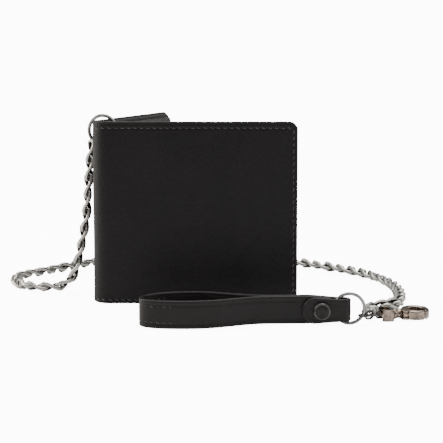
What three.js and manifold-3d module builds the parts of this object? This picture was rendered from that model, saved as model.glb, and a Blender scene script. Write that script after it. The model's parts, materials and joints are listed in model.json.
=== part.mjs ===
// Bifold chain wallet with its curb chain, snap strap and swivel clasp.
// Millimetres, +Z up. The wallet stands on its lower edge, part open.
import * as THREE from 'three';
import { mergeVertices } from 'three/addons/utils/BufferGeometryUtils.js';
import Module from 'manifold-3d';

const wasm = await Module();
wasm.setup();

const degrees = Math.PI / 180;

// ---- driving dimensions ----
const coverLength = 98;          // fold axis to the free edge
const coverHeight = 95;
const foldRadius = 8.5;          // outside radius of the spine
const openAngle = 71 * degrees;  // angle between the covers at rest
const cornerRadius = 4.5;
const shellThickness = 1.6;
const liningThickness = 0.8;
const panelThickness = 1.0;
const pocketThickness = 0.8;
const layerGap = 0.3;            // clearance between sewn layers
const billGap = 0.5;             // bill compartment, empty
const hardwareGap = 0.25;        // clearance round metal fittings

const liningDrop = 1.0;          // lining top edge below the shell's
const panelDrop = 3.0;           // card panel top edge below the shell's
const panelStart = 5;            // fold axis to the card panel
const edgeInset = 0.6;           // inner layers inside the shell's free edge
const footInset = 0.4;           // inner layers above the lower edge
const pocketCount = 3;
const highestPocket = coverHeight - 21;   // top edge of the tallest card pocket
const pocketStep = 12;

const ringOuterRadius = 9;       // ring through the wallet's eyelet
const ringWire = 1.9;
const ringFromFold = 8;
const ringPull = 1.0;            // the chain draws the ring outwards
const ringRise = 1.2;            // ring's inner top above the cover's top edge
const eyeletBore = 2.3;
const eyeletWall = 0.4;
const eyeletFlange = 4.4;
const eyeletFlangeThickness = 0.6;
const eyeletLipRadius = 3.5;
const eyeletLipThickness = 0.4;
const washerRadius = 4.2;
const washerThickness = 0.6;

const chainDiameter = 6.4;
const chainSides = 8;
const laidLength = 98;           // cover length that the chain's points suit
const laidHeight = 95;           // and cover height
const besideY = 45;              // the chain lies beside the covers up to here
const behindY = 111;             // and wholly behind the back cover from here
const lyingZ = 3.9;              // the chain lies on the floor up to here
const hangingZ = 80.2;           // and its first point hangs here

const strapThickness = 2.0;
const strapWidth = 13.6;
const strapGap = 0.3;            // clearance between the strap's layers
const strapY = -41;              // middle of the front layer
const strapRise = 0.8;           // the strap climbs this much towards its ring
const foldWidth = 11;            // strap width where it passes through its ring
const foldX = 58.5;              // centre of the turn round the ring
const frontEndX = 52.4;          // end of the front layer, under the tab
const mergeX = 24;               // the loop's two layers come together here
const loopLeft = -38.5;
const loopBulgeX = -15;
const loopFront = -49.2;
const loopBack = -30;
const shoulderX = 53.5;          // strap starts to narrow
const neckX = 56.6;              // strap is at its fold width

const tabTip = 38.4;
const tabWidth = 13.0;
const snapX = 47.7;
const snapRecess = 3.7;          // radius of the leather recess round the snap
const tabRecessDepth = 1.0;
const bandRecessDepth = 0.8;
const postRecessDepth = 0.55;
const capRadius = 4.1;
const capHeight = 1.5;
const capStem = 1.0;
const socketRadius = 3.3;
const socketBore = 1.95;
const socketThickness = 1.1;
const socketWeb = 0.3;           // socket's end wall, held by the cap's stem
const studFlange = 3.2;
const studFlangeThickness = 0.35;
const studKnob = 1.5;
const studBore = 1.2;
const postFlange = 2.6;
const postFlangeThickness = 0.3;
const postStem = 0.85;

const strapRingOuterRadius = 8;
const strapRingWire = 1.7;
const strapRingX = 61.1;
const floorGap = 0.05;

const linkWire = 1.1;            // small connector links
const linkLength = 4 * linkWire + 1.9;
const linkWidth = 2 * linkWire + 2.4;
const linkPlay = 0.2;
const linkCount = 4;
const linkHeading = 39 * degrees;
const linkRingAngle = -30 * degrees;
const endRingOuterRadius = 3.0;
const endRingWire = 0.9;
const endRingTilt = 50 * degrees;

const claspHeading = 9 * degrees;
const claspAxisHeight = 3.05;
const eyeLength = 6.1;
const eyeWidth = 8.8;
const eyeHeight = 5.8;
const eyeCheek = 1.6;
const eyeWall = 1.7;
const eyeBar = 0.95;             // radius of the bar the last link hangs on
const eyeBarInset = 0.5;
const pinShaft = 0.95;
const pinHeadRadius = 2.0;
const pinHeadThickness = 0.9;
const pinSocketDepth = 1.2;
const collarRadius = 2.75;
const waistRadius = 2.2;
const neckLength = 4.2;
const hookLength = 14;
const hookWidth = 13;
const hookSection = 2.4;         // hook bar, seen from above
const hookDepth = 4.9;           // hook bar, along Z
const hookTipAngle = -48 * degrees;
const gateRootAngle = -158 * degrees;
const gateGap = 0.35;
const hubRadius = 2.3;
const slotHalfHeight = 1.25;
const knuckleHalfHeight = 0.95;
const knuckleRadius = 1.95;
const gatePinRadius = 0.5;
const gatePinGap = 0.25;
const springWire = 0.36;
const springTurns = 2;

// ---- colours ----
const leather = new THREE.MeshStandardMaterial({ color: 0x1c1a1b, roughness: 0.5 });
const liningLeather = new THREE.MeshStandardMaterial({ color: 0x242224, roughness: 0.7 });
const nickel = new THREE.MeshStandardMaterial({ color: 0xa9a7a0, roughness: 0.35, metalness: 1 });
const gunmetal = new THREE.MeshStandardMaterial({ color: 0x3a3836, roughness: 0.4, metalness: 1 });
const warmNickel = new THREE.MeshStandardMaterial({ color: 0x9a8878, roughness: 0.38, metalness: 1 });

// ---- solid helpers ----
function solidOf(geometry) {
  const bare = geometry.clone();
  bare.deleteAttribute('normal');
  bare.deleteAttribute('uv');
  const merged = mergeVertices(bare, 1e-4);
  return new wasm.Manifold(new wasm.Mesh({
    numProp: 3,
    vertProperties: new Float32Array(merged.attributes.position.array),
    triVerts: new Uint32Array(merged.index.array),
  }));
}

function geometryOf(solid) {
  const mesh = solid.getMesh();
  const geometry = new THREE.BufferGeometry();
  geometry.setAttribute('position', new THREE.BufferAttribute(mesh.vertProperties, 3));
  geometry.setIndex(new THREE.BufferAttribute(mesh.triVerts, 1));
  return geometry;
}

function cut(geometry, ...tools) {
  return geometryOf(tools.reduce((solid, tool) => solid.subtract(solidOf(tool)), solidOf(geometry)));
}

function join(...geometries) {
  return geometryOf(geometries.map(solidOf).reduce((whole, solid) => whole.add(solid)));
}

function common(geometry, other) {
  return geometryOf(solidOf(geometry).intersect(solidOf(other)));
}

function piece(name, geometry, material, parent) {
  const mesh = new THREE.Mesh(geometry, material);
  mesh.name = name;
  parent.add(mesh);
  return mesh;
}

// A shape drawn in X and Z, extruded from y = low to y = high.
function plate(shape, low, high) {
  const options = { depth: high - low, bevelEnabled: false, curveSegments: 8 };
  const geometry = new THREE.ExtrudeGeometry(shape, options);
  geometry.rotateX(Math.PI / 2);
  geometry.translate(0, high, 0);
  return geometry;
}

// A shape drawn in X and Y, extruded from z = low to z = high.
function prism(shape, low, high) {
  const options = { depth: high - low, bevelEnabled: false, curveSegments: 8 };
  const geometry = new THREE.ExtrudeGeometry(shape, options);
  geometry.translate(0, 0, low);
  return geometry;
}

function rod(radius, low, high, sides = 20) {
  const geometry = new THREE.CylinderGeometry(radius, radius, high - low, sides);
  geometry.translate(0, (low + high) / 2, 0);
  return geometry;
}

function uprightRod(radius, low, high, sides = 20) {
  const geometry = rod(radius, low, high, sides);
  geometry.rotateX(Math.PI / 2);
  return geometry;
}

function lathe(points, segments = 28) {
  return new THREE.LatheGeometry(points.map(([r, y]) => new THREE.Vector2(r, y)), segments);
}

function ring(outerRadius, wire, steps = 36) {
  return new THREE.TorusGeometry(outerRadius - wire / 2, wire / 2, 10, steps);
}

// A ring stretched along X into a link with straight sides.
function ovalLink(length, width, wire) {
  const geometry = new THREE.TorusGeometry((width - wire) / 2, wire / 2, 8, 20);
  const position = geometry.attributes.position;
  const stretch = (length - width) / 2;
  for (let i = 0; i < position.count; i += 1) {
    const x = position.getX(i);
    const side = Math.abs(x) < 1e-6 ? 0 : Math.sign(x);
    position.setX(i, x + side * stretch);
  }
  return geometry;
}

// ---- wallet covers ----
// Both halves are drawn in a cover frame: X from the fold axis to the free edge,
// +Y (back) or -Y (front) towards the outside, Z up.
const outside = foldRadius;
const shellInside = outside - shellThickness;
const liningOutside = shellInside - layerGap;
const liningInside = liningOutside - liningThickness;
const panelOutside = liningInside - billGap;
const panelInside = panelOutside - panelThickness;
const stackMiddle = (outside + panelInside) / 2;

const ringMeanRadius = ringOuterRadius - ringWire / 2;
const ringInnerRadius = ringOuterRadius - ringWire;
const ringHeight = coverHeight + ringRise - ringInnerRadius;
const ringOut = stackMiddle + ringPull;
const washerHigh = panelInside - hardwareGap;
const washerLow = washerHigh - washerThickness;
const lipHigh = washerLow - hardwareGap;
const lipLow = lipHigh - eyeletLipThickness;
// The bore is centred on the ring's arc through it, which climbs towards its inner end.
const ringClimb = Math.sqrt(ringMeanRadius ** 2 - (ringOut - lipLow) ** 2);
const eyeletHeight = ringHeight - (ringMeanRadius + ringClimb) / 2;
const eyeletHole = eyeletBore + eyeletWall + hardwareGap;

function coverOutline(start, end, bottom, top, radius) {
  const shape = new THREE.Shape();
  shape.moveTo(start, bottom);
  shape.lineTo(end - radius, bottom);
  shape.absarc(end - radius, bottom + radius, radius, -Math.PI / 2, 0);
  shape.lineTo(end, top - radius);
  shape.absarc(end - radius, top - radius, radius, 0, Math.PI / 2);
  shape.lineTo(start, top);
  return shape;
}

function coverLayer(outline, outer, inner, side) {
  return side > 0 ? plate(outline, inner, outer) : plate(outline, -outer, -inner);
}

function eyeletDrill() {
  const drill = rod(eyeletHole, 0, foldRadius + 1, 20);
  drill.translate(ringFromFold, 0, eyeletHeight);
  return drill;
}

function buildCover(name, side, parent) {
  const end = coverLength - edgeInset;
  const radius = cornerRadius - edgeInset;
  const shellShape = coverOutline(layerGap, coverLength, 0, coverHeight, cornerRadius);
  const liningShape = coverOutline(layerGap, end, footInset, coverHeight - liningDrop, radius);
  const panelShape = coverOutline(panelStart, end, footInset, coverHeight - panelDrop, radius);
  const layers = [
    ['shell', coverLayer(shellShape, outside, shellInside, side), leather],
    ['lining', coverLayer(liningShape, liningOutside, liningInside, side), liningLeather],
    ['card_panel', coverLayer(panelShape, panelOutside, panelInside, side), leather],
  ];
  for (const [layer, geometry, material] of layers) {
    const whole = side > 0 ? cut(geometry, eyeletDrill()) : geometry;
    piece(`${name}_${layer}`, whole, material, parent);
  }
  for (let i = 0; i < pocketCount; i += 1) {
    const outer = panelInside - layerGap - i * (pocketThickness + layerGap);
    const top = highestPocket - i * pocketStep;
    const shape = coverOutline(panelStart, end, footInset, top, radius);
    const geometry = coverLayer(shape, outer, outer - pocketThickness, side);
    piece(`${name}_card_pocket_${i + 1}`, geometry, leather, parent);
  }
}

function spineBand(outer, inner, bottom, top) {
  const start = openAngle + Math.PI / 2;
  const end = 1.5 * Math.PI;
  const shape = new THREE.Shape();
  shape.absarc(0, 0, outer, start, end, false);
  shape.absarc(0, 0, inner, end, start, true);
  return prism(shape, bottom, top);
}

function buildEyelet(parent) {
  const wall = eyeletBore + eyeletWall;
  const flangeLow = outside + hardwareGap;
  const barrel = lathe([
    [eyeletBore, lipLow],
    [eyeletLipRadius, lipLow],
    [eyeletLipRadius, lipHigh],
    [wall, lipHigh],
    [wall, flangeLow],
    [eyeletFlange, flangeLow],
    [eyeletFlange - 0.3, flangeLow + eyeletFlangeThickness],
    [eyeletBore, flangeLow + eyeletFlangeThickness],
    [eyeletBore, lipLow],
  ]);
  const washer = lathe([
    [eyeletHole, washerLow],
    [washerRadius, washerLow],
    [washerRadius, washerHigh],
    [eyeletHole, washerHigh],
    [eyeletHole, washerLow],
  ]);
  piece('eyelet_barrel', barrel, gunmetal, parent).position.set(ringFromFold, 0, eyeletHeight);
  piece('eyelet_washer', washer, gunmetal, parent).position.set(ringFromFold, 0, eyeletHeight);
}

function buildWalletRing(parent) {
  const walletRing = piece('wallet_ring', ring(ringOuterRadius, ringWire), gunmetal, parent);
  walletRing.position.set(ringFromFold, ringOut, ringHeight);
  walletRing.rotation.y = Math.PI / 2;
}

// ---- chain ----
// Hangs from the wallet ring, loops on the floor at the left, passes behind the
// wallet and comes round the right to the end ring. Points are X, Y, Z.
function chainPoints() {
  return [
    new THREE.Vector3(-70.3, 20.9, hangingZ),
    new THREE.Vector3(-71.0, 21.2, 68.4),
    new THREE.Vector3(-71.9, 21.8, 56.0),
    new THREE.Vector3(-73.0, 22.6, 43.0),
    new THREE.Vector3(-75.2, 23.6, 31.0),
    new THREE.Vector3(-78.3, 24.8, 18.0),
    new THREE.Vector3(-82.0, 26.0, 8.2),
    new THREE.Vector3(-88.5, 25.6, 3.7),
    new THREE.Vector3(-97.0, 24.6, 3.5),
    new THREE.Vector3(-105.5, 27.4, 3.5),
    new THREE.Vector3(-112.5, 35.0, 3.5),
    new THREE.Vector3(-115.8, 46.0, 3.5),
    new THREE.Vector3(-111.5, 56.0, 3.5),
    new THREE.Vector3(-103.5, 64.0, 3.5),
    new THREE.Vector3(-95.0, 73.5, 3.5),
    new THREE.Vector3(-84.0, 84.0, 3.5),
    new THREE.Vector3(-68.0, 98.5, 3.5),
    new THREE.Vector3(-46.0, 111.5, 3.5),
    new THREE.Vector3(-20.0, 117.0, 3.5),
    new THREE.Vector3(8.0, 111.5, 3.5),
    new THREE.Vector3(30.0, 100.0, 3.5),
    new THREE.Vector3(47.4, 89.0, 3.5),
    new THREE.Vector3(59.6, 79.8, 3.5),
    new THREE.Vector3(71.5, 69.6, 3.5),
    new THREE.Vector3(81.5, 58.5, 3.5),
    new THREE.Vector3(88.8, 45.5, 3.5),
    new THREE.Vector3(93.2, 31.0, 3.5),
    new THREE.Vector3(94.3, 15.5, 3.5),
    new THREE.Vector3(92.8, 1.0, 3.5),
    new THREE.Vector3(89.0, -11.0, 3.5),
    new THREE.Vector3(endRingCentre.x + 9.97, endRingCentre.y + 15.79, 3.5),
    new THREE.Vector3(endRingCentre.x + 3.87, endRingCentre.y + 11.99, 3.5),
    new THREE.Vector3(endRingCentre.x + 0.87, endRingCentre.y + 6.79, lyingZ),
  ];
}

// A longer cover pushes the part of the chain behind it further back, and a lower one
// lowers the part that hangs.
function fitCover(point) {
  const behind = THREE.MathUtils.smoothstep(point.y, besideY, behindY);
  const hanging = Math.max(0, (point.z - lyingZ) / (hangingZ - lyingZ));
  point.y += behind * (coverLength - laidLength) * Math.sin(openAngle);
  point.z += hanging * (coverHeight - laidHeight);
  return point;
}

function buildChain(parent) {
  const route = new THREE.CatmullRomCurve3(chainPoints().map(fitCover), false, 'centripetal');
  const section = new THREE.Shape();
  for (let i = 0; i < chainSides; i += 1) {
    const angle = 2 * Math.PI * i / chainSides;
    const point = [chainDiameter / 2 * Math.cos(angle), chainDiameter / 2 * Math.sin(angle)];
    if (i === 0) section.moveTo(...point);
    else section.lineTo(...point);
  }
  const tube = new THREE.ExtrudeGeometry(section, { steps: 76, bevelEnabled: false, extrudePath: route });
  piece('chain_run', tube, nickel, parent);
}

// ---- strap ----
const strapPitch = strapThickness + strapGap;
const backLayerY = strapY + strapPitch;
const tabY = strapY - strapPitch;
const tabHingeX = foldX - strapThickness / 2 - strapGap;
const strapEnd = foldX + strapPitch + strapThickness / 2;

const strapStart = loopLeft - strapThickness / 2;

function rise(x) {
  return strapRise * (x - strapStart) / (strapEnd - strapStart);
}

// The strap's lower edge climbs evenly from the loop to the ring.
function raise(geometry) {
  const position = geometry.attributes.position;
  for (let i = 0; i < position.count; i += 1) {
    position.setZ(i, position.getZ(i) + rise(position.getX(i)));
  }
  return geometry;
}

function bandCentreLine() {
  const line = new THREE.CurvePath();
  const at = (x, y) => new THREE.Vector2(x, y);
  line.add(new THREE.LineCurve(at(frontEndX, strapY), at(mergeX, strapY)));
  line.add(new THREE.CubicBezierCurve(
    at(mergeX, strapY), at(8, strapY), at(2, loopFront), at(loopBulgeX, loopFront)));
  line.add(new THREE.CubicBezierCurve(
    at(loopBulgeX, loopFront), at(-29, loopFront), at(loopLeft, -47), at(loopLeft, strapY)));
  line.add(new THREE.CubicBezierCurve(
    at(loopLeft, strapY), at(loopLeft, -34.5), at(-29, loopBack), at(loopBulgeX, loopBack)));
  line.add(new THREE.CubicBezierCurve(
    at(loopBulgeX, loopBack), at(0, loopBack), at(9, backLayerY), at(mergeX, backLayerY)));
  line.add(new THREE.LineCurve(at(mergeX, backLayerY), at(foldX, backLayerY)));
  line.add(new THREE.EllipseCurve(foldX, strapY, strapPitch, strapPitch, Math.PI / 2, -Math.PI / 2, true));
  return line;
}

function bandOutline() {
  const left = [];
  const right = [];
  for (const curve of bandCentreLine().curves) {
    const steps = curve.isLineCurve ? 1 : 12;
    const first = left.length === 0 ? 0 : 1;
    for (let i = first; i <= steps; i += 1) {
      const point = curve.getPoint(i / steps);
      const tangent = curve.getTangent(i / steps);
      const offset = new THREE.Vector2(-tangent.y, tangent.x).multiplyScalar(strapThickness / 2);
      left.push(point.clone().add(offset));
      right.push(point.clone().sub(offset));
    }
  }
  return new THREE.Shape([...left, ...right.reverse()]);
}

// Side view of the strap: full width, then narrowed to pass through its ring.
function strapSideShape(start, end, width) {
  const middle = strapWidth / 2;
  const shape = new THREE.Shape();
  shape.moveTo(start, middle - width / 2);
  shape.lineTo(shoulderX, middle - width / 2);
  shape.lineTo(neckX, middle - foldWidth / 2);
  shape.lineTo(end, middle - foldWidth / 2);
  shape.lineTo(end, middle + foldWidth / 2);
  shape.lineTo(neckX, middle + foldWidth / 2);
  shape.lineTo(shoulderX, middle + width / 2);
  shape.lineTo(start, middle + width / 2);
  return shape;
}

function snapDrill(radius, low, high) {
  const drill = rod(radius, low, high, 24);
  drill.translate(snapX, 0, strapWidth / 2);
  return drill;
}

function buildStrap(parent) {
  const span = 20;
  const whole = prism(bandOutline(), 0, strapWidth);
  const sideShape = strapSideShape(loopLeft - span, strapEnd + span, strapWidth + 2);
  const side = plate(sideShape, strapY - span, strapY + span);
  const narrowed = common(whole, side);
  const front = strapY - strapThickness / 2;
  const rear = strapY + strapThickness / 2;
  const drilled = cut(
    narrowed,
    snapDrill(snapRecess, front - strapGap / 2, front + bandRecessDepth),
    snapDrill(studBore + hardwareGap, front, rear),
    snapDrill(postFlange + hardwareGap, rear - postRecessDepth, rear + strapGap / 2),
  );
  piece('strap_band', raise(drilled), leather, parent);
}

function buildTab(parent) {
  const middle = strapWidth / 2;
  const radius = tabWidth / 2;
  const shape = new THREE.Shape();
  shape.absarc(tabTip + radius, middle, radius, Math.PI / 2, 1.5 * Math.PI, false);
  shape.lineTo(shoulderX, middle - radius);
  shape.lineTo(neckX, middle - foldWidth / 2);
  shape.lineTo(tabHingeX, middle - foldWidth / 2);
  shape.lineTo(tabHingeX, middle + foldWidth / 2);
  shape.lineTo(neckX, middle + foldWidth / 2);
  shape.lineTo(shoulderX, middle + radius);
  const low = tabY - strapThickness / 2;
  const high = tabY + strapThickness / 2;
  const tab = cut(
    plate(shape, low, high),
    snapDrill(snapRecess, high - tabRecessDepth, high + strapGap / 2),
    snapDrill(capStem + hardwareGap, low - 1, high),
  );
  piece('strap_tab', raise(tab), leather, parent);
}

function buildSnap(parent) {
  const height = strapWidth / 2 + rise(snapX);
  const tabFront = tabY - strapThickness / 2;
  const tabRecess = tabY + strapThickness / 2 - tabRecessDepth;
  const capBase = tabFront - hardwareGap;
  const socketFront = tabRecess + hardwareGap;
  const socketBack = socketFront + socketThickness;
  const stemEnd = socketFront + socketWeb;
  const cap = lathe([
    [0, capBase - capHeight],
    [capRadius * 0.55, capBase - capHeight * 0.93],
    [capRadius * 0.86, capBase - capHeight * 0.68],
    [capRadius, capBase - capHeight * 0.3],
    [capRadius, capBase],
    [capStem, capBase],
    [capStem, stemEnd],
    [0, stemEnd],
  ]);
  const socket = lathe([
    [capStem + hardwareGap, socketFront],
    [socketRadius, socketFront],
    [socketRadius, socketBack],
    [socketBore, socketBack],
    [socketBore, stemEnd],
    [capStem + hardwareGap, stemEnd],
    [capStem + hardwareGap, socketFront],
  ]);
  const bandRecess = strapY - strapThickness / 2 + bandRecessDepth;
  const flangeBack = bandRecess - hardwareGap;
  const flangeFront = flangeBack - studFlangeThickness;
  const knobEnd = stemEnd + hardwareGap;
  const stud = lathe([
    [0, knobEnd],
    [studKnob * 0.8, knobEnd],
    [studKnob, (2 * knobEnd + flangeFront) / 3],
    [studKnob * 0.85, flangeFront],
    [studFlange, flangeFront],
    [studFlange, flangeBack],
    [0, flangeBack],
  ]);
  const postBack = strapY + strapThickness / 2 - hardwareGap / 4;
  const postFront = postBack - postFlangeThickness;
  const post = lathe([
    [0, flangeBack + hardwareGap],
    [postStem, flangeBack + hardwareGap],
    [postStem, postFront],
    [postFlange, postFront],
    [postFlange, postBack],
    [0, postBack],
  ]);
  piece('snap_cap', cap, gunmetal, parent).position.set(snapX, 0, height);
  piece('snap_socket', socket, gunmetal, parent).position.set(snapX, 0, height);
  piece('snap_stud', stud, gunmetal, parent).position.set(snapX, 0, height);
  piece('snap_post', post, gunmetal, parent).position.set(snapX, 0, height);
}

const strapRingMean = strapRingOuterRadius - strapRingWire / 2;
const strapRingHeight = strapRingOuterRadius + floorGap;

function buildStrapRing(parent) {
  const strapRing = piece('strap_ring', ring(strapRingOuterRadius, strapRingWire), gunmetal, parent);
  strapRing.position.set(strapRingX, strapY, strapRingHeight);
  strapRing.rotation.x = Math.PI / 2;
}

// ---- connector links and chain end ring ----
const linkStart = new THREE.Vector3(
  strapRingX + strapRingMean * Math.cos(linkRingAngle),
  strapY,
  strapRingHeight + strapRingMean * Math.sin(linkRingAngle),
);
const linkPitch = linkLength - 2 * linkWire - linkPlay;
const firstLink = linkLength / 2 - linkWire - strapRingWire / 2 - linkPlay;
const lastLink = linkLength / 2 - linkWire - eyeBar - linkPlay;
const linkRun = firstLink + (linkCount - 1) * linkPitch + lastLink;
const linkSlope = Math.asin((claspAxisHeight - linkStart.z) / linkRun);
const linkDirection = new THREE.Vector3(
  Math.cos(linkHeading) * Math.cos(linkSlope),
  Math.sin(linkHeading) * Math.cos(linkSlope),
  Math.sin(linkSlope),
);
const linkSide = new THREE.Vector3(-Math.sin(linkHeading), Math.cos(linkHeading), 0);
const linkUp = new THREE.Vector3().crossVectors(linkDirection, linkSide);
const claspPlace = linkStart.clone().addScaledVector(linkDirection, linkRun);

function linkCentre(i) {
  return linkStart.clone().addScaledVector(linkDirection, firstLink + i * linkPitch);
}

function buildConnectorLinks(parent) {
  for (let i = 0; i < linkCount; i += 1) {
    const flat = i % 2 === 0;
    const across = flat ? linkSide : linkUp;
    const normal = new THREE.Vector3().crossVectors(linkDirection, across);
    const oval = ovalLink(linkLength, linkWidth, linkWire);
    const link = piece(`connector_link_${i + 1}`, oval, gunmetal, parent);
    link.quaternion.setFromRotationMatrix(new THREE.Matrix4().makeBasis(linkDirection, across, normal));
    link.position.copy(linkCentre(i));
  }
}

// The end ring goes round the far side of the third link.
const endRingLean = linkSide.clone()
  .multiplyScalar(Math.cos(endRingTilt))
  .addScaledVector(linkUp, Math.sin(endRingTilt));
const endRingCentre = linkCentre(2)
  .addScaledVector(linkSide, (linkWidth - linkWire) / 2)
  .addScaledVector(endRingLean, endRingOuterRadius - endRingWire - linkWire / 2 - linkPlay);

function buildChainEndRing(parent) {
  const endRing = piece('chain_end_ring', ring(endRingOuterRadius, endRingWire, 28), nickel, parent);
  endRing.quaternion.setFromUnitVectors(new THREE.Vector3(0, 0, 1), linkDirection);
  endRing.position.copy(endRingCentre);
}

// ---- clasp, in its own frame: X along the clasp from the eye's bar ----
const eyeEnd = eyeLength - eyeBarInset;
const wallStart = eyeEnd - eyeWall;
const collarX = eyeEnd + hardwareGap;
const hookCentreX = collarX + neckLength + hookLength / 2;
const hookA = (hookLength - hookSection) / 2;
const hookB = (hookWidth - hookSection) / 2;

function hookPoint(angle) {
  return new THREE.Vector3(hookCentreX + hookA * Math.cos(angle), hookB * Math.sin(angle), 0);
}

function buildClaspEye(parent) {
  const shape = new THREE.Shape();
  const half = eyeWidth / 2;
  const bevel = 1.2;
  shape.moveTo(-eyeBarInset, -half + bevel);
  shape.lineTo(-eyeBarInset + bevel, -half);
  shape.lineTo(eyeEnd - bevel / 2, -half);
  shape.lineTo(eyeEnd, -half + bevel);
  shape.lineTo(eyeEnd, half - bevel);
  shape.lineTo(eyeEnd - bevel / 2, half);
  shape.lineTo(-eyeBarInset + bevel, half);
  shape.lineTo(-eyeBarInset, half - bevel);
  const block = prism(shape, -eyeHeight / 2, eyeHeight / 2);
  const room = new THREE.BoxGeometry(wallStart + 2, eyeWidth - 2 * eyeCheek, eyeHeight + 2);
  room.translate((wallStart - 2) / 2, 0, 0);
  const bore = rod(pinShaft + hardwareGap, wallStart - 1, eyeEnd + 1);
  bore.rotateZ(-Math.PI / 2);
  const bar = rod(eyeBar, -half + eyeCheek / 2, half - eyeCheek / 2, 16);
  piece('clasp_eye', join(cut(block, room, bore), bar), warmNickel, parent);
}

function buildSwivelPin(parent) {
  const headEnd = wallStart - hardwareGap;
  const pin = lathe([
    [0, headEnd - pinHeadThickness],
    [pinHeadRadius * 0.75, headEnd - pinHeadThickness],
    [pinHeadRadius, headEnd - pinHeadThickness / 2],
    [pinHeadRadius, headEnd],
    [pinShaft, headEnd],
    [pinShaft, collarX + pinSocketDepth],
    [0, collarX + pinSocketDepth],
  ], 20);
  pin.rotateZ(-Math.PI / 2);
  piece('swivel_pin', pin, warmNickel, parent);
}

const gateRoot = hookPoint(gateRootAngle);

function barAlong(from, to, halfWidth, halfDepth, steps) {
  const curve = new THREE.Curve();
  curve.getPoint = (t, target = new THREE.Vector3()) => target.copy(hookPoint(from + (to - from) * t));
  const section = new THREE.Shape();
  section.moveTo(-halfDepth + 0.7, -halfWidth);
  section.lineTo(halfDepth - 0.7, -halfWidth);
  section.lineTo(halfDepth, -halfWidth + 0.7);
  section.lineTo(halfDepth, halfWidth - 0.7);
  section.lineTo(halfDepth - 0.7, halfWidth);
  section.lineTo(-halfDepth + 0.7, halfWidth);
  section.lineTo(-halfDepth, halfWidth - 0.7);
  section.lineTo(-halfDepth, -halfWidth + 0.7);
  return new THREE.ExtrudeGeometry(section, { steps, bevelEnabled: false, extrudePath: curve });
}

function atGateRoot(geometry) {
  geometry.translate(gateRoot.x, gateRoot.y, 0);
  return geometry;
}

// The gate and the hook's tip part along an arc about the gate's pivot.
const partRadius = hookPoint(hookTipAngle).distanceTo(gateRoot);
const tipOverlap = 16 * degrees;

function buildClaspBody(parent) {
  const hookRoot = hookCentreX - hookA;
  const neck = lathe([
    [0, collarX],
    [collarRadius, collarX],
    [collarRadius, collarX + 0.8],
    [waistRadius, collarX + 2.2],
    [waistRadius + 0.2, collarX + 3.4],
    [hookDepth / 2, hookRoot],
    [0, hookRoot],
  ], 20);
  neck.rotateZ(-Math.PI / 2);
  const longHook = barAlong(190 * degrees, hookTipAngle - tipOverlap, hookSection / 2, hookDepth / 2, 28);
  const lowerSide = new THREE.BoxGeometry(4 * hookLength, hookWidth, 2 * hookDepth);
  lowerSide.translate(hookCentreX, gateRoot.y - hookWidth / 2, 0);
  const sweep = common(atGateRoot(uprightRod(partRadius, -hookDepth, hookDepth, 96)), lowerSide);
  const hook = cut(longHook, sweep);
  const hub = atGateRoot(uprightRod(hubRadius, -hookDepth / 2, hookDepth / 2, 24));
  const socket = rod(pinShaft + hardwareGap, collarX - 1, collarX + pinSocketDepth + hardwareGap);
  socket.rotateZ(-Math.PI / 2);
  const slot = atGateRoot(uprightRod(hubRadius + 0.4, -slotHalfHeight, slotHalfHeight, 24));
  const pinHole = atGateRoot(uprightRod(gatePinRadius + gatePinGap, -hookDepth, hookDepth, 16));
  piece('clasp_body', cut(join(neck, hook, hub), socket, slot, pinHole), warmNickel, parent);
}

function buildGate(parent) {
  const startAngle = gateRootAngle + 10 * degrees;
  const armHalf = hookSection / 2 - 0.1;
  const longArm = barAlong(startAngle, hookTipAngle + tipOverlap, armHalf, hookDepth / 2 - 0.1, 16);
  const arm = common(longArm, atGateRoot(uprightRod(partRadius - gateGap, -hookDepth, hookDepth, 96)));
  const clear = hubRadius + gateGap;
  const clearance = atGateRoot(uprightRod(clear, -hookDepth, hookDepth, 24));
  const tongueStart = startAngle - 4 * degrees;
  const tongueEnd = startAngle + 28 * degrees;
  const tongue = barAlong(tongueStart, tongueEnd, hookSection / 2 - 0.2, knuckleHalfHeight, 6);
  const knuckle = atGateRoot(uprightRod(knuckleRadius, -knuckleHalfHeight, knuckleHalfHeight, 24));
  const hole = atGateRoot(uprightRod(gatePinRadius + gatePinGap, -hookDepth, hookDepth, 16));
  const springRoom = atGateRoot(uprightRod(springMean + springWire / 2 + gatePinGap, 0, hookDepth, 20));
  piece('clasp_gate', cut(join(cut(arm, clearance), tongue, knuckle), hole, springRoom), warmNickel, parent);
}

const springMean = gatePinRadius + gatePinGap + springWire / 2;

function buildGatePin(parent) {
  const pin = atGateRoot(uprightRod(gatePinRadius, -hookDepth / 2, hookDepth / 2, 16));
  piece('gate_pin', pin, warmNickel, parent);
}

function buildGateSpring(parent) {
  const low = springWire / 2 + hardwareGap / 2;
  const high = slotHalfHeight - springWire / 2 - 0.1;
  const coil = new THREE.Curve();
  coil.getPoint = (t, target = new THREE.Vector3()) => {
    const angle = 2 * Math.PI * springTurns * t;
    return target.set(springMean * Math.cos(angle), springMean * Math.sin(angle), low + (high - low) * t);
  };
  const section = new THREE.Shape();
  section.absarc(0, 0, springWire / 2, 0, 2 * Math.PI, false);
  const spring = new THREE.ExtrudeGeometry(section, {
    steps: 12 * springTurns, curveSegments: 3, bevelEnabled: false, extrudePath: coil,
  });
  piece('gate_spring', atGateRoot(spring), nickel, parent);
}

// ---- assembly ----
const object = new THREE.Group();
const foldAxis = new THREE.Group();
foldAxis.position.set(-58.7, foldRadius, 0);
object.add(foldAxis);

const frontHalf = new THREE.Group();
foldAxis.add(frontHalf);
buildCover('front', -1, frontHalf);

const backHalf = new THREE.Group();
backHalf.rotation.z = openAngle;
foldAxis.add(backHalf);
buildCover('back', 1, backHalf);
buildEyelet(backHalf);
buildWalletRing(backHalf);

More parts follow.
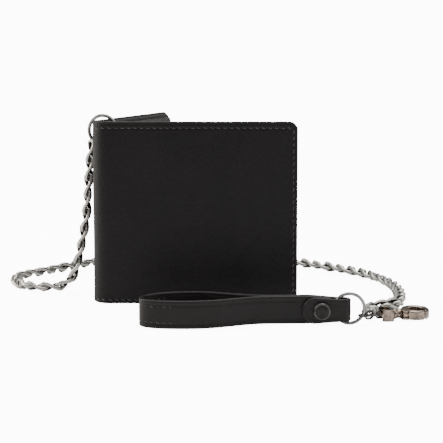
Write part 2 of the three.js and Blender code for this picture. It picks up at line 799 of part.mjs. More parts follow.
piece('spine', spineBand(outside, shellInside, 0, coverHeight), leather, foldAxis);
const spineLining = spineBand(liningOutside, liningInside, footInset, coverHeight - liningDrop);
piece('spine_lining', spineLining, liningLeather, foldAxis);

buildStrap(object);
buildTab(object);
buildSnap(object);
buildStrapRing(object);
buildConnectorLinks(object);
buildChainEndRing(object);

const clasp = new THREE.Group();
clasp.position.copy(claspPlace);
clasp.rotation.z = claspHeading;
object.add(clasp);
buildClaspEye(clasp);
buildSwivelPin(clasp);
buildClaspBody(clasp);
buildGate(clasp);
buildGatePin(clasp);
buildGateSpring(clasp);

// The origin is the bottom centre of everything but the free chain.
const reach = new THREE.Box3().setFromObject(object, true);
const middle = reach.getCenter(new THREE.Vector3());
buildChain(object);
object.position.set(-middle.x, -middle.y, -reach.min.z);

const group = new THREE.Group();
group.add(object);

export default group;
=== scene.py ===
import bmesh
import bpy
import json
import math
import numpy as np
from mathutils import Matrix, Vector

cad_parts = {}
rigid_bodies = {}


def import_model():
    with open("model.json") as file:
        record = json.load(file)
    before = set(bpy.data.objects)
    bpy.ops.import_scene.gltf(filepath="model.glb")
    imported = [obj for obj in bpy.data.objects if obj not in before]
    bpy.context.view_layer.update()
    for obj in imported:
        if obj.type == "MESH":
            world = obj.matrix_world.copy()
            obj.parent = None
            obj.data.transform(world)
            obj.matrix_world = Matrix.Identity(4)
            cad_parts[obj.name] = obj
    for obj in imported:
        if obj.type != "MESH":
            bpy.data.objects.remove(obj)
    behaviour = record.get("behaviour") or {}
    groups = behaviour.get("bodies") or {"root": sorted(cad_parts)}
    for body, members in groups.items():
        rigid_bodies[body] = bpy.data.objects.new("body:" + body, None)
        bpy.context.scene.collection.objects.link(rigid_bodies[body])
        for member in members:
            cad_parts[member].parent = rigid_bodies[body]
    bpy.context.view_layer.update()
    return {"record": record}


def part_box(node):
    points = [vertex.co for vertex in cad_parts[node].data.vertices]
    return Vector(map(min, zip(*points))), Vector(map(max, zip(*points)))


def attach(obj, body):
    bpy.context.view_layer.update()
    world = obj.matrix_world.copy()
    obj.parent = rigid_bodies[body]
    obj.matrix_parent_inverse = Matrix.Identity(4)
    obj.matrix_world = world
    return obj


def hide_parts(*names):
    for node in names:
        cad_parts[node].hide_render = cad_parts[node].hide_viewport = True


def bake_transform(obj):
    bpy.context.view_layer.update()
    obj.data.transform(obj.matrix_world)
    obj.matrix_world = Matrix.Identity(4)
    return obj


# Chain wallet: leather bifold, curb chain, snap strap and swivel clasp.
# Work is done in millimetres from a drawing origin on the front cover's face; row() turns it
# into the frame's metres.
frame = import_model()
joints = {joint["name"]: joint for joint in frame["record"]["behaviour"]["joints"]}
foldAxis = np.array(joints["wallet_fold"]["pos_m"][:2]) * 1000
drawingOrigin = np.array([foldAxis[0] + 58.7, foldAxis[1] - 8.5, 0.0])
rng = np.random.default_rng(7)


def row(points):
    # drawing millimetres to the frame's metres
    return (np.asarray(points, float) + drawingOrigin) / 1000


def unit(vectors):
    return vectors / np.maximum(np.linalg.norm(vectors, axis=-1, keepdims=True), 1e-12)


camera = {
    "place": (0, -500, 125),
    "lens": 79.4,
    "pitchDown": 4.62,
    "shiftY": -0.18,
}


def makeCamera():
    data = bpy.data.cameras.new("camera")
    data.lens = camera["lens"]
    data.sensor_width = 36
    data.shift_y = camera["shiftY"]
    data.clip_start = 0.01
    body = bpy.data.objects.new("camera", data)
    body.location = row(camera["place"])
    body.rotation_euler = (math.radians(90 - camera["pitchDown"]), 0, 0)
    bpy.context.scene.collection.objects.link(body)
    bpy.context.scene.camera = body


makeCamera()
print("camera placed")


def makeMesh(name, points, faces, material=None, smooth=True, attributes=None):
    # points are drawing millimetres; doubles are merged and the faces turned outwards
    mesh = bpy.data.meshes.new(name)
    mesh.from_pydata(row(points).tolist(), [], faces.tolist())
    for key, values in (attributes or {}).items():
        mesh.attributes.new(key, "FLOAT", "POINT").data.foreach_set("value", values.astype(np.float32))
    solid = bmesh.new()
    solid.from_mesh(mesh)
    bmesh.ops.remove_doubles(solid, verts=solid.verts, dist=2e-6)
    bmesh.ops.dissolve_degenerate(solid, edges=solid.edges, dist=1e-7)
    bmesh.ops.recalc_face_normals(solid, faces=solid.faces)
    solid.to_mesh(mesh)
    solid.free()
    mesh.polygons.foreach_set("use_smooth", [smooth] * len(mesh.polygons))
    piece = bpy.data.objects.new(name, mesh)
    bpy.context.scene.collection.objects.link(piece)
    if material:
        mesh.materials.append(material)
    return piece


def settle(piece, body, slot, *nodes):
    # the finished piece takes the place of its nodes and moves with its body
    if nodes:
        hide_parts(*nodes)
    if body:
        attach(piece, body)


def gridFaces(rows, columns, closeRows=False, closeColumns=False):
    # quads between neighbouring points of a rows x columns grid
    i = np.arange(rows if closeRows else rows - 1)
    j = np.arange(columns if closeColumns else columns - 1)
    i, j = np.meshgrid(i, j, indexing="ij")
    nextI, nextJ = (i + 1) % rows, (j + 1) % columns
    corners = [i * columns + j, nextI * columns + j, nextI * columns + nextJ, i * columns + nextJ]
    return np.stack(corners, -1).reshape(-1, 4)


def repeatFaces(faces, count, stride):
    # the same faces for each of count copies that follow one another
    return (faces[None] + (np.arange(count) * stride)[:, None, None]).reshape(-1, faces.shape[1])


def spacedLine(low, high, step, edges, extras=()):
    # even spacing with closer lines near both ends, at the given distances from them; each set of
    # extra lines takes the place of those in its range
    edges = np.array(edges)
    count = max(2, round((high - low - 2 * edges[-1]) / step) + 1)
    inner = np.linspace(low + edges[-1], high - edges[-1], count)
    line = np.concatenate([low + edges, inner, high - edges])
    for extra in extras:
        outside = (line < extra[0] - 0.3) | (line > extra[-1] + 0.3)
        line = np.concatenate([line[outside], extra])
    return np.unique(np.round(line, 5))


def runAlong(line):
    # distance from the first point to each point of a line
    return np.concatenate([[0], np.cumsum(np.linalg.norm(np.diff(line, axis=0), axis=1))])


def onLine(at, run, line):
    # the points of a line at the given distances along it
    return np.stack([np.interp(at, run, line[:, k]) for k in range(line.shape[1])], -1)


def wave(x, y, size, seed):
    # slow uneven swell: a few crossed sines, from about -1 to 1
    phase = np.random.default_rng(seed).uniform(0, 6.28, 6)
    a = np.sin(x / size + phase[0]) * np.cos(y / size * 0.8 + phase[1])
    b = np.sin((x + y) / size * 1.7 + phase[2]) * 0.5
    c = np.cos((x - 0.6 * y) / size * 2.6 + phase[3]) * 0.3
    return (a + b + c) / 1.8


edgeSteps = (0, 0.04, 0.14, 0.3, 0.5, 0.75, 1.0, 1.25, 1.5, 1.75, 2.1, 2.6, 3.1, 3.5, 3.9, 4.4, 5.0)


sheet = {
    "holeSpacing": 0.9,
    "holeReach": 6,
    "ringStart": 1.8,
    "ringEnd": 5.4,
    "swellSize": 17,
    "swellFromEdge": 12,
    "rimWidth": 0.5,
}


def outlineDistance(u, z, box, margins=(0, 0, 0)):
    # distance in from a rectangle whose two ends have their own corner radii, negative outside it;
    # the margins bring it in at the ends, the bottom and the top
    low, high, bottom, top, startRadius, endRadius = box
    low, high, bottom, top = low + margins[0], high - margins[0], bottom + margins[1], top - margins[2]
    middleU, middleZ = (low + high) / 2, (bottom + top) / 2
    radius = np.maximum(np.where(u < middleU, startRadius, endRadius) - margins[0], 0.5)
    du = np.abs(u - middleU) - (high - low) / 2 + radius
    dz = np.abs(z - middleZ) - (top - bottom) / 2 + radius
    outside = np.hypot(np.maximum(du, 0), np.maximum(dz, 0))
    return radius - outside - np.minimum(np.maximum(du, dz), 0)


def leatherSheet(name, place, box, thickness, material, *, edgeRadius=0.7, step=1.4, grooves=(),
                 innerGrooves=(), hole=None, swell=0.0, seed=1, extraU=None, innerMark=0.0):
    # a sheet in (u, z): its outer and inner faces stand off the middle surface by half its thickness,
    # which falls to nothing over a quarter ellipse at the outline and at the hole
    low, high, bottom, top, startRadius, endRadius = box
    holeLines = np.arange(-sheet["holeReach"], sheet["holeReach"] + 1) * sheet["holeSpacing"]
    extras = [hole[0] + holeLines] if hole else []
    if extraU is not None:
        extras.append(extraU)
    u = spacedLine(low, high, step, edgeSteps, extras)
    zLines = spacedLine(bottom, top, step, edgeSteps, [hole[1] + holeLines] if hole else ())
    share = (zLines - bottom) / (top - bottom)
    fromEnd = np.minimum(u - low, high - u)
    radius = np.where(u < (low + high) / 2, startRadius, endRadius)
    into = np.clip(radius - fromEnd, 0, None)
    lift = np.where(radius > 0, radius - np.sqrt(np.maximum(radius ** 2 - into ** 2, 0)), 0)
    zMap = (bottom + lift)[:, None] + (top - bottom - 2 * lift)[:, None] * share[None]
    uMap = np.repeat(u[:, None], len(share), 1)
    keep = np.ones(uMap.shape, bool)
    inset = np.maximum(outlineDistance(uMap, zMap, box), 0)
    flatU, flatZ = uMap, zMap
    if hole:
        # grid points near the hole move out along rays so that one ring of them lies on its circle
        ringStart, ringEnd = sheet["ringStart"], sheet["ringEnd"]
        du, dz = uMap - hole[0], zMap - hole[1]
        square = np.maximum(np.abs(du), np.abs(dz))
        distance = np.maximum(np.hypot(du, dz), 1e-9)
        k = np.clip((square - ringStart) / (ringEnd - ringStart), 0, 1)
        target = np.where(square < ringEnd, (1 - k) * hole[2] + k * distance, distance)
        uMap, zMap = hole[0] + du / distance * target, hole[1] + dz / distance * target
        keep = square > ringStart - 0.05
        inset = np.minimum(inset, np.maximum(target - hole[2], 0))
    near = np.clip(inset / edgeRadius, 0, 1)
    half = thickness / 2 * np.sqrt(np.maximum(1 - (1 - near) ** 2, 0))
    centre, normal = place(uMap, zMap)

    def relief(lines):
        # each line is (margins from the outline, depth, width)
        total = np.zeros_like(inset)
        for margins, depth, width in lines:
            total += depth * np.exp(-(outlineDistance(flatU, flatZ, box, margins) / width) ** 2)
        return total * np.clip(inset, 0, 1)

    bow = swell * wave(uMap, zMap, sheet["swellSize"], seed) * np.clip(inset / sheet["swellFromEdge"], 0, 1)
    outer = centre + normal * (half - relief(grooves) + bow)[..., None]
    inner = centre - normal * (half - relief(innerGrooves) - bow)[..., None]
    points = np.concatenate([outer.reshape(-1, 3), inner.reshape(-1, 3)])
    faces = gridFaces(*uMap.shape)
    faces = faces[keep.reshape(-1)[faces].all(1)]
    both = np.concatenate([faces, faces[:, ::-1] + uMap.size])
    # the mark is 1 at the rim, and on the inner side it is at least innerMark; the lighter rim colour it brings
    # is edge paint and partly a painted highlight
    rim = np.exp(-(inset.reshape(-1) / sheet["rimWidth"]) ** 2)
    edgeMark = np.concatenate([rim, np.maximum(rim, innerMark)])
    return makeMesh(name, points, both, material, attributes={"edge": edgeMark})


stitch = {
    "length": 2.4,
    "radius": 0.31,
    "leanSpread": 0.16,
    "depthSpread": 0.06,
    "endDip": 0.12,
    "flatness": 0.8,
}


def stitchRow(name, points, along, outwards, material, *, length=stitch["length"], radius=stitch["radius"],
              slant=0.0):
    # each stitch is a short bead: circles along it whose radius follows a half ellipse
    t = np.linspace(-1, 1, 7)
    angle = np.linspace(0, 2 * np.pi, 6, endpoint=False)
    along = unit(along)
    outwards = unit(outwards - (outwards * along).sum(-1, keepdims=True) * along)
    across = np.cross(along, outwards)
    lean = slant + rng.uniform(-stitch["leanSpread"], stitch["leanSpread"], (len(points), 1))
    along = unit(along + lean * across)
    across = np.cross(along, outwards)
    points = points + outwards * rng.uniform(-stitch["depthSpread"], stitch["depthSpread"], (len(points), 1))
    size = radius * np.sqrt(np.maximum(1 - t ** 4, 0))
    height = -stitch["endDip"] * t[:, None] ** 2 + size[:, None] * np.sin(angle) * stitch["flatness"]
    body = (points[:, None, None] + along[:, None, None] * (t * length / 2)[None, :, None, None]
            + across[:, None, None] * (size[:, None] * np.cos(angle))[None, ..., None]
            + outwards[:, None, None] * height[None, ..., None])
    faces = repeatFaces(gridFaces(len(t), len(angle), closeColumns=True), len(points), len(t) * len(angle))
    return makeMesh(name, body.reshape(-1, 3), faces, material)


def tubeLoop(line, wire, sides=12, upHint=(0, 0, 1)):
    # round wire carried along a closed line
    line = np.asarray(line, float)
    along = unit(np.roll(line, -1, 0) - np.roll(line, 1, 0))
    across = unit(np.cross(along, np.broadcast_to(upHint, along.shape)))
    up = np.cross(across, along)
    angle = np.linspace(0, 2 * np.pi, sides, endpoint=False)
    skin = (line[:, None] + across[:, None] * (wire / 2 * np.cos(angle))[None, :, None]
            + up[:, None] * (wire / 2 * np.sin(angle))[None, :, None])
    return skin.reshape(-1, 3), gridFaces(len(line), sides, True, True)


def ringPoints(outerRadius, wire, steps=72, sides=14, wobble=0.0):
    # a torus in the local XY plane
    turn = np.linspace(0, 2 * np.pi, steps, endpoint=False)
    radius = outerRadius - wire / 2 + wobble * np.sin(3 * turn + 0.4)
    line = np.stack([radius * np.cos(turn), radius * np.sin(turn), np.zeros(steps)], -1)
    return tubeLoop(line, wire, sides)


def ovalLine(length, width, wire, steps=28):
    # middle line of a link with round ends, in the local XY plane
    bend = (width - wire) / 2
    straight = (length - width) / 2
    turn = np.linspace(0, 2 * np.pi, steps, endpoint=False) + np.pi / steps
    x = bend * np.cos(turn) + straight * np.clip(np.cos(turn) * 3, -1, 1)
    return np.stack([x, bend * np.sin(turn), np.zeros(steps)], -1)


def placed(points, origin, xAxis, yAxis):
    xAxis = unit(np.asarray(xAxis, float))
    yAxis = np.asarray(yAxis, float)
    yAxis = unit(yAxis - (yAxis @ xAxis) * xAxis)
    return np.asarray(origin) + points @ np.stack([xAxis, yAxis, np.cross(xAxis, yAxis)])


def standing(local, origin, right, outwards):
    # turned points with the local X to the right, Y up and Z outwards
    return origin + local[:, :1] * right + local[:, 1:2] * np.array([0, 0, 1]) + local[:, 2:] * outwards


def turned(profile, steps=40):
    # (radius, height) points turned about the local Z axis
    profile = np.asarray(profile, float)
    angle = np.linspace(0, 2 * np.pi, steps, endpoint=False)
    radius, height = profile[:, :1], np.repeat(profile[:, 1:], steps, 1)
    skin = np.stack([radius * np.cos(angle), radius * np.sin(angle), height], -1)
    return skin.reshape(-1, 3), gridFaces(len(profile), steps, closeColumns=True)


def newGroup(name, inputs, outputs):
    group = bpy.data.node_groups.new(name, "ShaderNodeTree")
    for label, kind, value in inputs:
        socket = group.interface.new_socket(label, in_out="INPUT", socket_type=kind)
        if value is not None:
            socket.default_value = value
    for label, kind in outputs:
        group.interface.new_socket(label, in_out="OUTPUT", socket_type=kind)
    return group, group.nodes.new("NodeGroupInput"), group.nodes.new("NodeGroupOutput")


def addNode(tree, kind, inputs=None, **settings):
    # each input is a value to set or another node's output to link
    node = tree.nodes.new(kind)
    for key, value in settings.items():
        setattr(node, key, value)
    fillInputs(tree, node, inputs or {})
    return node


def fillInputs(tree, node, inputs):
    for key, value in inputs.items():
        if isinstance(value, bpy.types.NodeSocket):
            tree.links.new(value, node.inputs[key])
        else:
            node.inputs[key].default_value = value


def mathNode(tree, operation, *values):
    return addNode(tree, "ShaderNodeMath", dict(enumerate(values)), operation=operation).outputs[0]


def mixColour(tree, factor, first, second):
    inputs = {"Factor": factor, "A": first, "B": (*second, 1)}
    return addNode(tree, "ShaderNodeMix", inputs, data_type="RGBA").outputs["Result"]


def rampNode(tree, value, stops):
    node = addNode(tree, "ShaderNodeValToRGB")
    while len(node.color_ramp.elements) < len(stops):
        node.color_ramp.elements.new(0.5)
    for element, (position, colour) in zip(node.color_ramp.elements, stops):
        element.position = position
        element.color = (*colour, 1)
    tree.links.new(value, node.inputs[0])
    return node.outputs[0]


def leatherGroup():
    # pebbled grain: rounded cells with creases between them, fine pores and slow patches
    group, start, end = newGroup(
        "leatherGrain",
        [("Vector", "NodeSocketVector", None), ("Grain size", "NodeSocketFloat", 1500.0),
         ("Crease", "NodeSocketFloat", 0.6)],
        [("Height", "NodeSocketFloat"), ("Patch", "NodeSocketFloat"), ("Pore", "NodeSocketFloat")])
    vector = start.outputs["Vector"]
    bend = addNode(group, "ShaderNodeTexNoise", {"Scale": 260, "Detail": 3, "Vector": vector})
    shift = addNode(group, "ShaderNodeVectorMath", {0: bend.outputs["Color"], 1: (0.0012,) * 3, 2: vector},
                    operation="MULTIPLY_ADD")
    cells = {"Smoothness": 0.6, "Vector": shift.outputs[0], "Scale": start.outputs["Grain size"]}
    cells = addNode(group, "ShaderNodeTexVoronoi", cells, feature="SMOOTH_F1")
    fine = addNode(group, "ShaderNodeTexNoise", {"Scale": 4200, "Detail": 4, "Vector": vector})
    slow = {"Scale": 55, "Detail": 5, "Roughness": 0.6, "Vector": vector}
    slow = addNode(group, "ShaderNodeTexNoise", slow)
    dome = mathNode(group, "SUBTRACT", 1.0, cells.outputs["Distance"])
    dome = mathNode(group, "MULTIPLY", dome, start.outputs["Crease"])
    height = mathNode(group, "MULTIPLY_ADD", fine.outputs["Fac"], 0.35, dome)
    height = mathNode(group, "ADD", height, mathNode(group, "MULTIPLY", slow.outputs["Fac"], 0.4))
    fillInputs(group, end, {"Height": height, "Patch": slow.outputs["Fac"], "Pore": fine.outputs["Fac"]})
    return group


def metalGroup():
    # hairline scuffs, tarnish patches and fine pitting
    group, start, end = newGroup(
        "metalWear",
        [("Vector", "NodeSocketVector", None), ("Tarnish size", "NodeSocketFloat", 400.0)],
        [("Height", "NodeSocketFloat"), ("Tarnish", "NodeSocketFloat"), ("Scuff", "NodeSocketFloat")])
    vector = start.outputs["Vector"]
    tarnish = {"Detail": 6, "Roughness": 0.65, "Vector": vector, "Scale": start.outputs["Tarnish size"]}
    tarnish = addNode(group, "ShaderNodeTexNoise", tarnish)
    stretch = {"Rotation": (0.5, 0.3, 0.9), "Scale": (300, 4200, 4200), "Vector": vector}
    stretch = addNode(group, "ShaderNodeMapping", stretch)
    scuff = addNode(group, "ShaderNodeTexNoise", {"Scale": 1.0, "Detail": 2, "Vector": stretch.outputs[0]})
    pits = addNode(group, "ShaderNodeTexNoise", {"Scale": 2600, "Detail": 3, "Vector": vector})
    height = mathNode(group, "ADD", mathNode(group, "MULTIPLY", pits.outputs["Fac"], 0.6),
                      mathNode(group, "MULTIPLY", scuff.outputs["Fac"], 0.4))
    fillInputs(group, end, {"Height": height, "Tarnish": tarnish.outputs["Fac"], "Scuff": scuff.outputs["Fac"]})
    return group


leatherGrain = leatherGroup()
metalWear = metalGroup()


def newMaterial(name):
    material = bpy.data.materials.new(name)
    material.use_nodes = True
    tree = material.node_tree
    shader = tree.nodes["Principled BSDF"]
    place = addNode(tree, "ShaderNodeTexCoord")
    return material, tree, shader, place.outputs["Object"]


def finishBump(tree, shader, height, strength, distance):
    bump = addNode(tree, "ShaderNodeBump", {"Strength": strength, "Distance": distance, "Height": height})
    tree.links.new(bump.outputs[0], shader.inputs["Normal"])


def leatherMaterial(name, dark, light, *, edge=None, rough=(0.42, 0.58), grain=1500.0, crease=0.6, bump=0.35,
                    specular=0.2):
    material, tree, shader, vector = newMaterial(name)
    group = addNode(tree, "ShaderNodeGroup", node_tree=leatherGrain)
    fillInputs(tree, group, {"Grain size": grain, "Crease": crease, "Vector": vector})
    pores = mathNode(tree, "MULTIPLY", group.outputs["Pore"], 0.3)
    blendFactor = mathNode(tree, "MULTIPLY_ADD", group.outputs["Patch"], 0.8, pores)
    colour = rampNode(tree, blendFactor, [(0.35, dark), (0.75, light)])
    roughness = mathNode(tree, "MULTIPLY_ADD", group.outputs["Patch"], rough[1] - rough[0], rough[0])
    # the rim takes a lighter edge colour: edge paint, and partly a painted highlight along the rim
    if edge:
        mark = addNode(tree, "ShaderNodeAttribute", attribute_name="edge")
        colour = mixColour(tree, mark.outputs["Fac"], colour, edge)
    fillInputs(tree, shader, {"Base Color": colour, "Roughness": roughness, "Specular IOR Level": specular})
    finishBump(tree, shader, group.outputs["Height"], bump, 0.0003)
    return material


def metalMaterial(name, clean, stained, *, rough=(0.22, 0.42), size=400.0, bump=0.15, paintedShade=None):
    material, tree, shader, vector = newMaterial(name)
    group = addNode(tree, "ShaderNodeGroup", node_tree=metalWear)
    fillInputs(tree, group, {"Tarnish size": size, "Vector": vector})
    colour = rampNode(tree, group.outputs["Tarnish"], [(0.38, clean), (0.7, stained)])
    roughness = mathNode(tree, "MULTIPLY_ADD", group.outputs["Scuff"], rough[1] - rough[0], rough[0])
    # painted shade: in hollows where shade falls the attribute mixes the colour towards the given dark colour
    if paintedShade:
        mark = addNode(tree, "ShaderNodeAttribute", attribute_name="paintedShade")
        colour = mixColour(tree, mark.outputs["Fac"], colour, paintedShade)
        roughness = mathNode(tree, "MULTIPLY_ADD", mark.outputs["Fac"], 0.25, group.outputs["Scuff"])
        roughness = mathNode(tree, "MULTIPLY", roughness, 0.6)
    fillInputs(tree, shader, {"Base Color": colour, "Roughness": roughness, "Metallic": 1.0})
    finishBump(tree, shader, group.outputs["Height"], bump, 0.00008)
    return material


coverLeather = leatherMaterial("coverLeather", (0.0036, 0.0029, 0.0030), (0.0072, 0.0060, 0.0060),
                               edge=(0.022, 0.0195, 0.018), rough=(0.40, 0.56), bump=0.45, specular=0.18)
panelLeather = leatherMaterial("panelLeather", (0.009, 0.0085, 0.0083), (0.019, 0.018, 0.0172),
                               edge=(0.03, 0.028, 0.026), rough=(0.40, 0.6), grain=1700.0, bump=0.45,
                               specular=0.3)
liningLeather = leatherMaterial("liningLeather", (0.016, 0.0155, 0.0145), (0.028, 0.027, 0.0255),
                                edge=(0.035, 0.033, 0.031), rough=(0.6, 0.8), grain=2600.0, bump=0.4,
                                specular=0.3)
strapLeather = leatherMaterial("strapLeather", (0.0040, 0.0032, 0.0031), (0.0082, 0.0068, 0.0064),
                               edge=(0.013, 0.0115, 0.011), rough=(0.34, 0.5), grain=1400.0, bump=0.4,
                               specular=0.21)
threadFinish = leatherMaterial("waxedThread", (0.014, 0.013, 0.0125), (0.055, 0.052, 0.049),
                               rough=(0.35, 0.5), grain=5200.0, bump=0.5, specular=0.4)
# the chain's dark colour in the hollows of its links is painted shade
antiqueSilver = metalMaterial("antiqueSilver", (0.50, 0.485, 0.45), (0.26, 0.25, 0.225), rough=(0.2, 0.45),
                              size=700.0, paintedShade=(0.012, 0.011, 0.010))
gunmetal = metalMaterial("gunmetal", (0.27, 0.262, 0.25), (0.13, 0.125, 0.12), rough=(0.18, 0.38), size=500.0)
darkGunmetal = metalMaterial("darkGunmetal", (0.085, 0.080, 0.076), (0.022, 0.020, 0.019),
                             rough=(0.14, 0.34), size=350.0)
warmNickel = metalMaterial("warmNickel", (0.34, 0.275, 0.225), (0.05, 0.036, 0.028), rough=(0.10, 0.30),
                           size=330.0, bump=0.3)
# the cap's dark colour on its face and back is painted shade
capFinish = metalMaterial("capGunmetal", (0.085, 0.082, 0.077), (0.03, 0.028, 0.026), rough=(0.1, 0.28),
                          size=450.0, paintedShade=(0.014, 0.013, 0.012))
springSteel = metalMaterial("springSteel", (0.55, 0.55, 0.54), (0.36, 0.35, 0.34), size=900.0)
print("materials made")

wallet = {
    "axis": (-58.7, 8.5),
    "openAngle": 71,
    "length": 98,
    "height": 95,
    "corner": 4.5,
    "innerCorner": 3.9,
    "shell": (8.5, 6.9),
    "lining": (6.6, 5.8),
    "panel": (5.3, 4.3),
    "pockets": ((4.0, 3.2, 74), (2.9, 2.1, 62), (1.8, 1.0, 50)),
    "panelTop": 92,
    "panelStart": 5,
    "innerEnd": 97.4,
    "foot": 0.4,
    "holePlace": (8, 81.78),
    "holeRadius": 2.95,
    "edgeLine": (0.9, 0.9, 1.5),
    "stitchLine": (2.1, 2.0, 3.5),
    "insideStitchLine": (3.0, 3.0, 3.0),
    "stitchClear": 6.5,
    "stitchPitch": 3.3,
    "swell": 0.16,
}
openTurn = math.radians(wallet["openAngle"])
backAlong = np.array([math.cos(openTurn), math.sin(openTurn), 0])
backOut = np.array([-math.sin(openTurn), math.cos(openTurn), 0])
spineSweep = math.pi - openTurn
spineLength = spineSweep * 7.7


def coverPlace(radius):
    # u runs from the front free edge (negative) round the spine to the back free edge; the middle
    # surface stands off the fold axis by radius
    def place(u, z):
        front = u < 0
        back = u > spineLength
        angle = -math.pi / 2 - np.clip(u / spineLength, 0, 1) * spineSweep
        outwards = np.stack([np.cos(angle), np.sin(angle), np.zeros_like(u)], -1)
        along = np.where(front[..., None], np.array([1.0, 0, 0]) * (-u)[..., None], 0.0)
        along = along + np.where(back[..., None], backAlong * (u - spineLength)[..., None], 0.0)
        axis = np.array([*wallet["axis"], 0.0])
        points = axis + along + outwards * radius
        points[..., 2] = z
        return points, outwards
    return place


def halfPlace(side, radius):
    # one cover alone: u runs from the fold axis to the free edge
    whole = coverPlace(radius)
    if side == "front":
        return lambda u, z: whole(-u, z)
    return lambda u, z: whole(u + spineLength, z)


def middle(layer):
    return (layer[0] + layer[1]) / 2


def thickness(layer):
    return layer[0] - layer[1]


axisPoint = np.array([*wallet["axis"], 0.0])


def blendOverSpine(piece):
    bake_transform(piece)


def makeWalletLeather():
    back = spineLength + wallet["length"]
    hole = (spineLength + wallet["holePlace"][0], wallet["holePlace"][1], wallet["holeRadius"])
    spineLines = spineLength * np.linspace(0, 1, 15)
    shellBox = (-wallet["length"], back, 0, wallet["height"], wallet["corner"], wallet["corner"])
    shell = leatherSheet("walletLeather", coverPlace(middle(wallet["shell"])), shellBox,
                         thickness(wallet["shell"]), coverLeather, hole=hole, swell=wallet["swell"],
                         grooves=((wallet["edgeLine"], 0.12, 0.22), (wallet["stitchLine"], 0.30, 0.42)),
                         extraU=spineLines, innerMark=1.0)
    settle(shell, None, "black_leather", "front_shell", "spine", "back_shell")
    blendOverSpine(shell)
    liningEnd = wallet["innerEnd"]
    liningBox = (-liningEnd, spineLength + liningEnd, wallet["foot"], wallet["height"] - 1,
                 wallet["corner"] - 0.6, wallet["corner"] - 0.6)
    lining = leatherSheet("billLining", coverPlace(middle(wallet["lining"])), liningBox,
                          thickness(wallet["lining"]), liningLeather, hole=hole, edgeRadius=0.4,
                          innerGrooves=(((1.4, 1.4, 1.4), 0.06, 0.2),), extraU=spineLines)
    settle(lining, None, "lining_leather", "front_lining", "spine_lining", "back_lining")
    blendOverSpine(lining)


def makePanels(side, body):
    start, end, foot = wallet["panelStart"], wallet["innerEnd"], wallet["foot"]
    hole = (*wallet["holePlace"], wallet["holeRadius"]) if side == "back" else None
    box = (start, end, foot, wallet["panelTop"], 0.6, wallet["corner"] - 0.6)
    panel = leatherSheet(f"{side}CardPanel", halfPlace(side, middle(wallet["panel"])), box,
                         thickness(wallet["panel"]), panelLeather, hole=hole, edgeRadius=0.5,
                         innerGrooves=(((1.5, 1.5, 1.5), 0.08, 0.2),))
    settle(panel, body, "black_leather", f"{side}_card_panel")
    for number, (outer, inner, top) in enumerate(wallet["pockets"], 1):
        box = (start, end, foot, top, 0.6, wallet["innerCorner"])
        pocket = leatherSheet(f"{side}CardPocket{number}", halfPlace(side, (outer + inner) / 2), box,
                              outer - inner, panelLeather, edgeRadius=0.4, step=1.8,
                              innerGrooves=(((1.5, 1.5, 1.5), 0.08, 0.2), ((3.2, 3.2, 3.2), 0.05, 0.25)))
        settle(pocket, body, "black_leather", f"{side}_card_pocket_{number}")


def outlineWalk(box, margins, pitch):
    # points every pitch round a rectangle with rounded ends, its margins in from the outline
    low, high, bottom, top, radius = box
    low, high, bottom, top = low + margins[0], high - margins[0], bottom + margins[1], top - margins[2]
    bend = max(radius - margins[0], 1.0)
    turn = np.linspace(0, math.pi / 2, 9)
    corners = [(high - bend, bottom + bend, -math.pi / 2), (high - bend, top - bend, 0),
               (low + bend, top - bend, math.pi / 2), (low + bend, bottom + bend, math.pi)]
    path = np.concatenate([np.stack([x + bend * np.cos(a + turn), z + bend * np.sin(a + turn)], -1)
                           for x, z, a in corners])
    path = np.concatenate([path, path[:1]])
    lengths = runAlong(path)
    count = round(lengths[-1] / pitch)
    at = np.arange(count) * lengths[-1] / count
    return onLine(at, lengths, path)


def clearOfHole(walk, start):
    # no stitches beside the eyelet
    across, height = wallet["holePlace"]
    return np.hypot(walk[:, 0] - start - across, walk[:, 1] - height) > wallet["stitchClear"]


def sewOn(name, place, walk, inward, half, chosen):
    # stitches along the chosen points of a walk in (u, z) on one face of a sheet
    ahead = np.roll(walk, -1, 0)
    start, normal = place(walk[:, 0], walk[:, 1])
    end, _ = place(ahead[:, 0], ahead[:, 1])
    facing = -normal if inward else normal
    points = start + facing * half
    return stitchRow(name, points[chosen], (end - start)[chosen], facing[chosen], threadFinish, slant=0.22)


def makeWalletStitches():
    back = spineLength + wallet["length"]
    shellHalf = thickness(wallet["shell"]) / 2 - 0.14
    walk = outlineWalk((-wallet["length"], back, 0, wallet["height"], wallet["corner"]),
                       wallet["stitchLine"], wallet["stitchPitch"])
    seam = sewOn("coverStitches", coverPlace(middle(wallet["shell"])), walk, False, shellHalf,
                 clearOfHole(walk, spineLength))
    blendOverSpine(seam)
    settle(seam, None, "black_leather")
    for side, body in (("front", "front_half"), ("back", "back_half")):
        start, end, foot, corner = (wallet[key] for key in ("panelStart", "innerEnd", "foot", "innerCorner"))
        walk = outlineWalk((start, end, foot, wallet["panelTop"], corner), wallet["insideStitchLine"],
                           wallet["stitchPitch"])
        above = walk[:, 1] > wallet["pockets"][0][2] + 2.5
        seam = sewOn(f"{side}PanelStitches", halfPlace(side, middle(wallet["panel"])), walk, True,
                     thickness(wallet["panel"]) / 2 - 0.02, above & clearOfHole(walk, 0))
        settle(seam, body, "black_leather")
        for number, (outer, inner, top) in enumerate(wallet["pockets"], 1):
            walk = outlineWalk((start, end, foot, top, corner), wallet["insideStitchLine"],
                               wallet["stitchPitch"])
            floor = wallet["pockets"][number][2] + 1.5 if number < len(wallet["pockets"]) else -1
            sides = (walk[:, 1] > floor) & (walk[:, 1] < top - 4.5)
            seam = sewOn(f"{side}PocketStitches{number}", halfPlace(side, (outer + inner) / 2), walk, True,
                         (outer - inner) / 2 - 0.02, sides)
            settle(seam, body, "black_leather")


